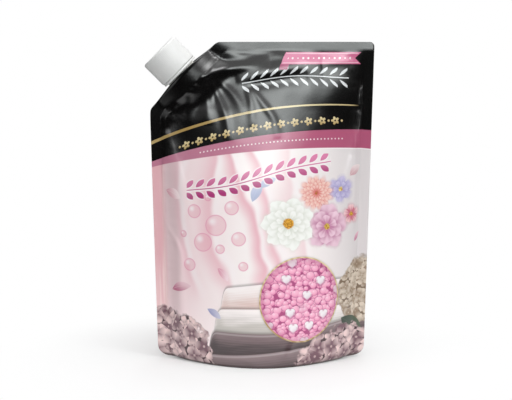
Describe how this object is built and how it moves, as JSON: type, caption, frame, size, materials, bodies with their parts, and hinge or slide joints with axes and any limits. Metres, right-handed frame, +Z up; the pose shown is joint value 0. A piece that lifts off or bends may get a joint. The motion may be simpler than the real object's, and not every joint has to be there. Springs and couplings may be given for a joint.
{
  "type": "spouted refill pouch of scent booster beads",
  "caption": "Stand-up film pouch filled with scent beads, with a screw-capped spout welded into its cut corner.",
  "frame": {"origin": "on the floor, under the middle of the flat that the folded base stands on", "axes": "+Z up, +X to the right seen from the front, so the spout leans towards -X; the printed front faces -Y"},
  "size_m": [0.1963, 0.0906, 0.2793],
  "materials": {
    "printed_film": "glossy laminated film, printed in black, rose, pale pink and gold",
    "spout_plastic": "natural moulded polyethylene, satin",
    "cap_plastic": "white moulded plastic, satin, finely ribbed",
    "liner_foam": "soft white foam sheet, matte"
  },
  "bodies": {
    "root": {"pouch": "printed_film", "spout": "spout_plastic", "tamper_ring": "cap_plastic"},
    "liner": {"cap_liner": "liner_foam"},
    "cap": {"cap": "cap_plastic"}
  },
  "joints": [
    {"name": "cap_lift", "type": "slide", "parent": "root", "child": "liner", "axis": [-0.7071, 0, 0.7071], "range_m": [0, 0.008]},
    {"name": "cap_turn", "type": "hinge", "parent": "liner", "child": "cap", "pos_m": [-0.06884, 0, 0.24882], "axis": [-0.7071, 0, 0.7071], "range_deg": [0, 720]}
  ],
  "couplings": [
    {"joint": "cap_lift", "follows": "cap_turn", "m_per_rad": 0.0006366}
  ]
}
